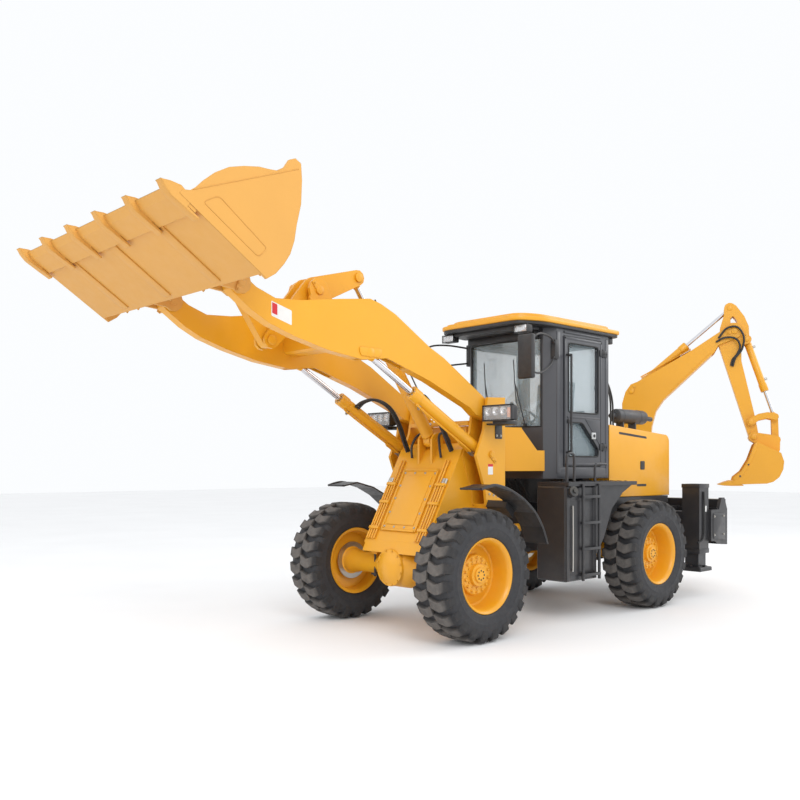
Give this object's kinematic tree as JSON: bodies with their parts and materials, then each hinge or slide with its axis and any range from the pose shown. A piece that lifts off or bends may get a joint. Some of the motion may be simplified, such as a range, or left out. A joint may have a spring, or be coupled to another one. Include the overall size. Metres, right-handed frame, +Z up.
{
  "type": "articulated backhoe loader",
  "caption": "Articulated backhoe loader with raised front bucket, cab amidships and a side-shift hoe folded at the rear.",
  "frame": {"origin": "on the ground, under the middle of the whole machine's box", "axes": "+X forward, +Y to the machine's left, +Z up"},
  "size_m": [9.2148, 2.4618, 3.7055],
  "materials": {
    "black_paint": "satin paint",
    "black_plastic": "matt",
    "bucket_paint": "matt worn paint",
    "cab_grey_paint": "satin paint",
    "chromed_steel": "polished",
    "engine_iron": "as cast",
    "muffler_grey": "matt heat-resistant paint",
    "seat_vinyl": "matt vinyl",
    "tyre_rubber": "matt rubber with grey tread",
    "window_glass": "clear",
    "yellow_paint": "satin gloss paint"
  },
  "bodies": {
    "rear_chassis": {"rear_frame": "black_paint", "cab_frame": "cab_grey_paint", "cab_roof": "yellow_paint", "cab_cowl": "yellow_paint", "windscreen": "window_glass", "side_window": "window_glass", "rear_window": "window_glass", "driver_seat": "seat_vinyl", "steering_console": "black_paint", "engine_hood": "yellow_paint", "engine_block": "engine_iron", "muffler": "muffler_grey", "fuel_tank": "black_paint", "hydraulic_tank": "black_paint", "rear_axle": "yellow_paint"},
    "front_chassis": {"front_frame": "yellow_paint", "front_axle": "yellow_paint", "fender_left": "black_plastic", "fender_right": "black_plastic", "headlamp_left": "black_plastic", "headlamp_right": "black_plastic"},
    "cab_door": {"cab_door": "cab_grey_paint", "door_glass": "window_glass"},
    "wheel_front_left": {"tyre_front_left": "tyre_rubber", "rim_front_left": "yellow_paint"},
    "wheel_front_right": {"tyre_front_right": "tyre_rubber", "rim_front_right": "yellow_paint"},
    "wheel_rear_left": {"tyre_rear_left": "tyre_rubber", "rim_rear_left": "yellow_paint"},
    "wheel_rear_right": {"tyre_rear_right": "tyre_rubber", "rim_rear_right": "yellow_paint"},
    "steer_barrel_left": {"steer_barrel_left": "yellow_paint"},
    "steer_rod_left": {"steer_rod_left": "chromed_steel"},
    "steer_barrel_right": {"steer_barrel_right": "yellow_paint"},
    "steer_rod_right": {"steer_rod_right": "chromed_steel"},
    "loader_arm": {"loader_arm": "yellow_paint"},
    "lift_barrel_left": {"lift_barrel_left": "yellow_paint"},
    "lift_rod_left": {"lift_rod_left": "chromed_steel"},
    "lift_barrel_right": {"lift_barrel_right": "yellow_paint"},
    "lift_rod_right": {"lift_rod_right": "chromed_steel"},
    "tilt_barrel": {"tilt_barrel": "yellow_paint"},
    "tilt_rod": {"tilt_rod": "chromed_steel"},
    "loader_bucket": {"loader_bucket": "bucket_paint"},
    "rocker": {"rocker": "yellow_paint"},
    "bucket_link": {"bucket_link": "yellow_paint"},
    "hoe_carriage": {"hoe_carriage": "black_paint"},
    "swing_post": {"swing_post": "yellow_paint"},
    "hoe_boom": {"hoe_boom": "yellow_paint"},
    "boom_barrel": {"boom_barrel": "yellow_paint"},
    "boom_rod": {"boom_rod": "chromed_steel"},
    "hoe_stick": {"hoe_stick": "yellow_paint"},
    "stick_barrel": {"stick_barrel": "yellow_paint"},
    "stick_rod": {"stick_rod": "chromed_steel"},
    "hoe_bucket": {"hoe_bucket": "yellow_paint"},
    "hoe_lever": {"hoe_lever": "yellow_paint"},
    "hoe_link": {"hoe_link": "yellow_paint"},
    "bucket_barrel": {"bucket_barrel": "yellow_paint"},
    "bucket_rod": {"bucket_rod": "chromed_steel"},
    "stabilizer_leg_left": {"stabilizer_leg_left": "black_paint"},
    "stabilizer_leg_right": {"stabilizer_leg_right": "black_paint"}
  },
  "joints": [
    {"name": "steer", "type": "hinge", "parent": "rear_chassis", "child": "front_chassis", "pos_m": [0.0163, -0.03089, 0.88], "axis": [0, 0, 1], "range_deg": [-35, 35]},
    {"name": "steer_barrel_turn_left", "type": "hinge", "parent": "rear_chassis", "child": "steer_barrel_left", "pos_m": [-0.5037, 0.18911, 0.9], "axis": [0, 0, 1], "range_deg": [-18.56, 18.56]},
    {"name": "steer_rod_slide_left", "type": "slide", "parent": "steer_barrel_left", "child": "steer_rod_left", "axis": [0.9969, 0.0782, 0], "range_m": [-0.1635, 0.1635]},
    {"name": "steer_barrel_turn_right", "type": "hinge", "parent": "rear_chassis", "child": "steer_barrel_right", "pos_m": [-0.5037, -0.25089, 0.9], "axis": [0, 0, 1], "range_deg": [-18.56, 18.56]},
    {"name": "steer_rod_slide_right", "type": "slide", "parent": "steer_barrel_right", "child": "steer_rod_right", "axis": [0.9969, -0.0782, 0], "range_m": [-0.1635, 0.1635]},
    {"name": "wheel_front_left_spin", "type": "hinge", "parent": "front_chassis", "child": "wheel_front_left", "pos_m": [1.4323, 0.84661, 0.586], "axis": [0, 1, 0], "continuous": true},
    {"name": "wheel_front_right_spin", "type": "hinge", "parent": "front_chassis", "child": "wheel_front_right", "pos_m": [1.4323, -0.90839, 0.586], "axis": [0, 1, 0], "continuous": true},
    {"name": "wheel_rear_left_spin", "type": "hinge", "parent": "rear_chassis", "child": "wheel_rear_left", "pos_m": [-1.3997, 0.84661, 0.586], "axis": [0, 1, 0], "continuous": true},
    {"name": "wheel_rear_right_spin", "type": "hinge", "parent": "rear_chassis", "child": "wheel_rear_right", "pos_m": [-1.3997, -0.90839, 0.586], "axis": [0, 1, 0], "continuous": true},
    {"name": "loader_lift", "type": "hinge", "parent": "front_chassis", "child": "loader_arm", "pos_m": [0.8163, -0.03089, 2.07], "axis": [0, -1, 0], "range_deg": [-53.8, 12]},
    {"name": "lift_barrel_turn_left", "type": "hinge", "parent": "front_chassis", "child": "lift_barrel_left", "pos_m": [0.8663, 0.46911, 1.65], "axis": [0, -1, 0], "range_deg": [-55.67, 13.45]},
    {"name": "lift_rod_slide_left", "type": "slide", "parent": "lift_barrel_left", "child": "lift_rod_left", "axis": [0.8697, 0, 0.4936], "range_m": [-0.3951, 0.0954]},
    {"name": "lift_barrel_turn_right", "type": "hinge", "parent": "front_chassis", "child": "lift_barrel_right", "pos_m": [0.8663, -0.53089, 1.65], "axis": [0, -1, 0], "range_deg": [-55.67, 13.45]},
    {"name": "lift_rod_slide_right", "type": "slide", "parent": "lift_barrel_right", "child": "lift_rod_right", "axis": [0.8697, 0, 0.4936], "range_m": [-0.3951, 0.0954]},
    {"name": "tilt_barrel_turn", "type": "hinge", "parent": "front_chassis", "child": "tilt_barrel", "pos_m": [1.0763, -0.03089, 1.79], "axis": [0, -1, 0], "range_deg": [-56.99, 13.77]},
    {"name": "tilt_rod_slide", "type": "slide", "parent": "tilt_barrel", "child": "tilt_rod", "axis": [0.5704, 0, 0.8214], "range_m": [-0.3533, 0.0854]},
    {"name": "bucket_tilt", "type": "hinge", "parent": "loader_arm", "child": "loader_bucket", "pos_m": [3.6333, -0.03089, 2.89], "axis": [0, 1, 0], "range_deg": [-45, 79]},
    {"name": "rocker_turn", "type": "hinge", "parent": "loader_arm", "child": "rocker", "pos_m": [2.5763, -0.03089, 3.04], "axis": [0, -1, 0], "range_deg": [-22.93, 39.35]},
    {"name": "bucket_link_turn", "type": "hinge", "parent": "rocker", "child": "bucket_link", "pos_m": [3.0163, -0.03089, 2.578], "axis": [0, -1, 0], "range_deg": [-51.41, 29.96]},
    {"name": "cab_door_swing", "type": "hinge", "parent": "rear_chassis", "child": "cab_door", "pos_m": [-0.9517, 0.58911, 1.535], "axis": [0, 0, 1], "range_deg": [0, 170]},
    {"name": "hoe_slide", "type": "slide", "parent": "rear_chassis", "child": "hoe_carriage", "axis": [0, 1, 0], "range_m": [0, 1.44]},
    {"name": "hoe_swing", "type": "hinge", "parent": "hoe_carriage", "child": "swing_post", "pos_m": [-3.3637, -0.75089, 0.86], "axis": [0, 0, 1], "range_deg": [-28, 152]},
    {"name": "hoe_boom", "type": "hinge", "parent": "swing_post", "child": "hoe_boom", "pos_m": [-3.49515, -0.50367, 1.3], "axis": [-0.8829, -0.4695, 0], "range_deg": [-4, 80]},
    {"name": "boom_barrel_turn", "type": "hinge", "parent": "swing_post", "child": "boom_barrel", "pos_m": [-3.3637, -0.75089, 1.58], "axis": [-0.8829, -0.4695, 0], "range_deg": [-5.84, 84.05]},
    {"name": "boom_rod_slide", "type": "slide", "parent": "boom_barrel", "child": "boom_rod", "axis": [-0.0743, 0.1397, 0.9874], "range_m": [-0.0366, 0.5268]},
    {"name": "hoe_stick", "type": "hinge", "parent": "hoe_boom", "child": "hoe_stick", "pos_m": [-4.06791, 0.57353, 3.33], "axis": [0.8829, 0.4695, 0], "range_deg": [-10, 110]},
    {"name": "stick_barrel_turn", "type": "hinge", "parent": "hoe_boom", "child": "stick_barrel", "pos_m": [-3.44821, -0.59196, 2.565], "axis": [0.8829, 0.4695, 0], "range_deg": [-5.4, 0.6]},
    {"name": "stick_rod_slide", "type": "slide", "parent": "stick_barrel", "child": "stick_rod", "axis": [-0.3576, 0.6725, 0.648], "range_m": [-0.5283, 0.0583]},
    {"name": "hoe_bucket", "type": "hinge", "parent": "hoe_stick", "child": "hoe_bucket", "pos_m": [-4.17824, 0.78102, 1.925], "axis": [0.8829, 0.4695, 0], "range_deg": [-65, 60]},
    {"name": "hoe_lever_turn", "type": "hinge", "parent": "hoe_stick", "child": "hoe_lever", "pos_m": [-4.1618, 0.75012, 2.121], "axis": [0.8829, 0.4695, 0], "range_deg": [-61.42, 56.88]},
    {"name": "hoe_link_turn", "type": "hinge", "parent": "hoe_lever", "child": "hoe_link", "pos_m": [-4.29795, 1.00617, 2.184], "axis": [0.8829, 0.4695, 0], "range_deg": [-33.12, 35.78]},
    {"name": "bucket_barrel_turn", "type": "hinge", "parent": "hoe_stick", "child": "bucket_barrel", "pos_m": [-4.13833, 0.70597, 3.213], "axis": [0.8829, 0.4695, 0], "range_deg": [-1.25, 1.35]},
    {"name": "bucket_rod_slide", "type": "slide", "parent": "bucket_barrel", "child": "bucket_rod", "axis": [-0.1473, 0.277, -0.9495], "range_m": [-0.2613, 0.2822]},
    {"name": "stabilizer_left", "type": "slide", "parent": "rear_chassis", "child": "stabilizer_leg_left", "axis": [0, 0, -1], "range_m": [0, 0.5]},
    {"name": "stabilizer_right", "type": "slide", "parent": "rear_chassis", "child": "stabilizer_leg_right", "axis": [0, 0, -1], "range_m": [0, 0.5]}
  ],
  "couplings": [
    {"joint": "steer_barrel_turn_left", "follows": "steer", "ratio": 0.51},
    {"joint": "steer_rod_slide_left", "follows": "steer", "m_per_rad": -0.2574},
    {"joint": "steer_barrel_turn_right", "follows": "steer", "ratio": 0.51},
    {"joint": "steer_rod_slide_right", "follows": "steer", "m_per_rad": 0.2574},
    {"joint": "lift_barrel_turn_left", "follows": "loader_lift", "ratio": 1.01},
    {"joint": "lift_rod_slide_left", "follows": "loader_lift", "m_per_rad": 0.4107},
    {"joint": "lift_barrel_turn_right", "follows": "loader_lift", "ratio": 1.01},
    {"joint": "lift_rod_slide_right", "follows": "loader_lift", "m_per_rad": 0.4107},
    {"joint": "tilt_barrel_turn", "follows": "loader_lift", "ratio": 1.034},
    {"joint": "tilt_rod_slide", "follows": "loader_lift", "m_per_rad": 0.3673},
    {"joint": "rocker_turn", "follows": "bucket_tilt", "ratio": 0.483},
    {"joint": "bucket_link_turn", "follows": "bucket_tilt", "ratio": -0.631},
    {"joint": "boom_barrel_turn", "follows": "hoe_boom", "ratio": 1.029},
    {"joint": "boom_rod_slide", "follows": "hoe_boom", "m_per_rad": 0.3695},
    {"joint": "stick_barrel_turn", "follows": "hoe_stick", "ratio": -0.048},
    {"joint": "stick_rod_slide", "follows": "hoe_stick", "m_per_rad": -0.2693},
    {"joint": "hoe_lever_turn", "follows": "hoe_bucket", "ratio": 0.91},
    {"joint": "hoe_link_turn", "follows": "hoe_bucket", "ratio": -0.53},
    {"joint": "bucket_barrel_turn", "follows": "hoe_bucket", "ratio": -0.02},
    {"joint": "bucket_rod_slide", "follows": "hoe_bucket", "m_per_rad": -0.2395}
  ]
}
